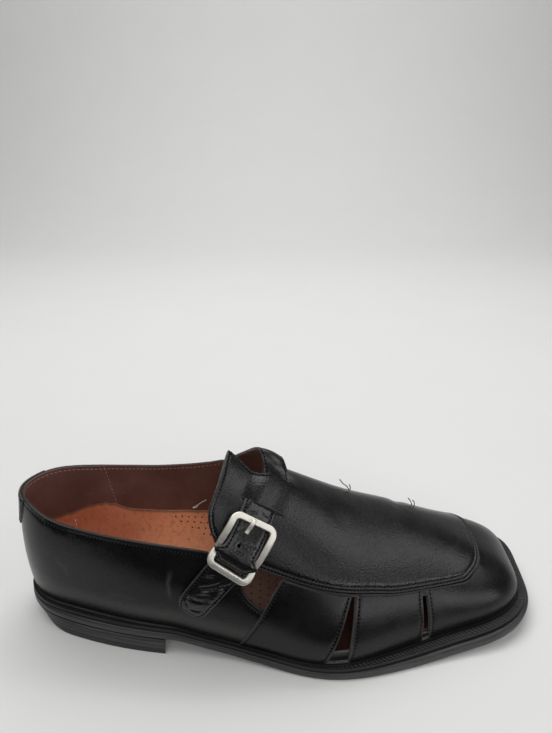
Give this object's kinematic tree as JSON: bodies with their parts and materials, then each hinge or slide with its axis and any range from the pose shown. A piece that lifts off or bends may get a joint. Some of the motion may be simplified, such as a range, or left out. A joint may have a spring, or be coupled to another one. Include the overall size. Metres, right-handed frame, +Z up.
{
  "type": "fisherman sandal",
  "caption": "Closed men's fisherman sandal in black leather: apron vamp on cut-out side strips, buckled strap over the instep, welted sole with a low stacked heel.",
  "frame": {"origin": "middle of the sole's outline, on the floor", "axes": "+X towards the toe, +Y towards the medial side, +Z up"},
  "size_m": [0.3094, 0.108, 0.1083],
  "materials": {
    "sole": "satin edge",
    "heel": "stacked layers, satin",
    "welt": "ribbed, matt",
    "insole": "smooth, perforated",
    "upper": "polished, fine grain",
    "strap": "polished, wrinkled",
    "buckle": "satin nickel"
  },
  "bodies": {
    "root": {"outsole": "sole", "heel": "heel", "welt": "welt", "insole": "insole", "upper": "upper", "strap": "strap", "buckle_frame": "buckle", "buckle_prong": "buckle"}
  },
  "joints": []
}
